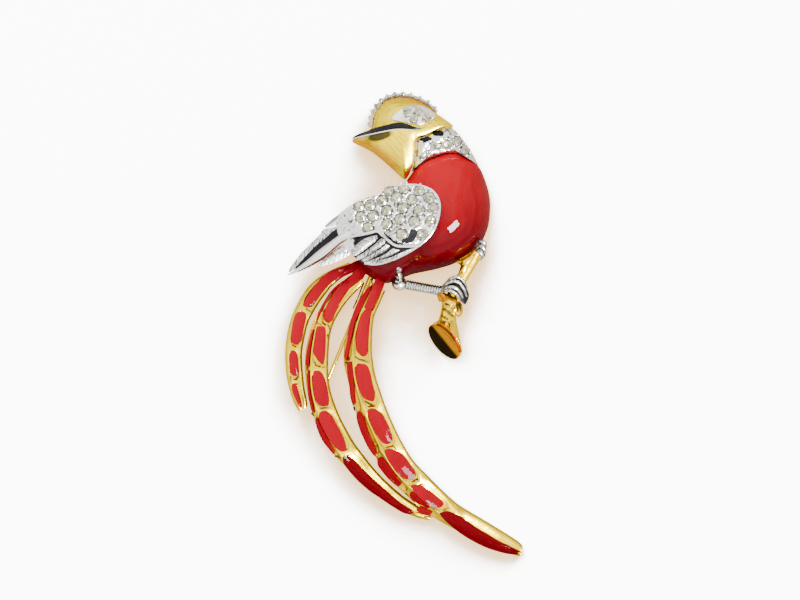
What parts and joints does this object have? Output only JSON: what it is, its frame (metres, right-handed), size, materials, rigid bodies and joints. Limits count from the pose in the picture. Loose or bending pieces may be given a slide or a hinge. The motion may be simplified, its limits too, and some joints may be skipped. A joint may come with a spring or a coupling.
{
  "type": "figural bird brooch",
  "caption": "Long-tailed bird brooch on a branch, red enamel body and tail, gold and silver metal, set with clear stones, hinged pin at the back.",
  "frame": {"origin": "middle of the brooch's outline, on the surface it lies on", "axes": "+Y towards the bird's head and away from the tail, +Z out of the face, +X to the bird's breast"},
  "size_m": [0.0502, 0.0982, 0.0134],
  "materials": {
    "cast_gold": "polished gold plate on the body casting, hinge and catch",
    "red_enamel": "glossy translucent red enamel",
    "head_gold": "gold plate with fine engraved feather lines",
    "silver": "rhodium plate, darkened in the recesses",
    "black_enamel": "glossy black enamel",
    "tail_gold": "polished gold plate",
    "tail_enamel": "glossy translucent red enamel in cells",
    "leg_silver": "rhodium plate, darkened in the grooves",
    "branch_gold": "satin gold plate with brown antiquing",
    "pin_gold": "polished gold-plated wire",
    "stone": "clear faceted glass stones with a pale champagne tint"
  },
  "bodies": {
    "brooch": {"body_casting": "cast_gold", "body_enamel": "red_enamel", "head": "head_gold", "crest_rim": "silver", "crest_stones": "stone", "brow_plate": "silver", "beak": "black_enamel", "collar": "silver", "wing": "silver", "tail_feather_left": "tail_gold", "tail_feather_middle": "tail_gold", "tail_feather_right": "tail_gold", "tail_enamel_left": "tail_enamel", "tail_enamel_middle": "tail_enamel", "tail_enamel_right": "tail_enamel", "near_leg": "leg_silver", "far_foot": "leg_silver", "branch": "branch_gold", "pin_hinge": "cast_gold", "pin_catch": "cast_gold", "wing_stone_01": "stone", "wing_stone_02": "stone", "wing_stone_03": "stone", "wing_stone_04": "stone", "wing_stone_05": "stone", "wing_stone_06": "stone", "wing_stone_07": "stone", "wing_stone_08": "stone", "wing_stone_09": "stone", "wing_stone_10": "stone", "wing_stone_11": "stone", "wing_stone_12": "stone", "wing_stone_13": "stone", "wing_stone_14": "stone", "wing_stone_15": "stone", "wing_stone_16": "stone", "wing_stone_17": "stone", "wing_stone_18": "stone", "wing_stone_19": "stone", "wing_stone_20": "stone", "wing_stone_21": "stone", "wing_stone_22": "stone", "collar_stone_01": "stone", "collar_stone_02": "stone", "collar_stone_03": "stone", "collar_stone_04": "stone", "collar_stone_05": "stone", "collar_stone_06": "stone", "brow_stone_01": "stone", "brow_stone_02": "stone", "brow_stone_03": "stone", "brow_stone_04": "stone"},
    "pin": {"pin_stem": "pin_gold"}
  },
  "joints": [
    {"name": "pin_hinge", "type": "hinge", "parent": "brooch", "child": "pin", "pos_m": [-0.00584, 0.01322, 0.00179], "axis": [0.6528, -0.2717, 0.7071], "range_deg": [0, 95]}
  ]
}
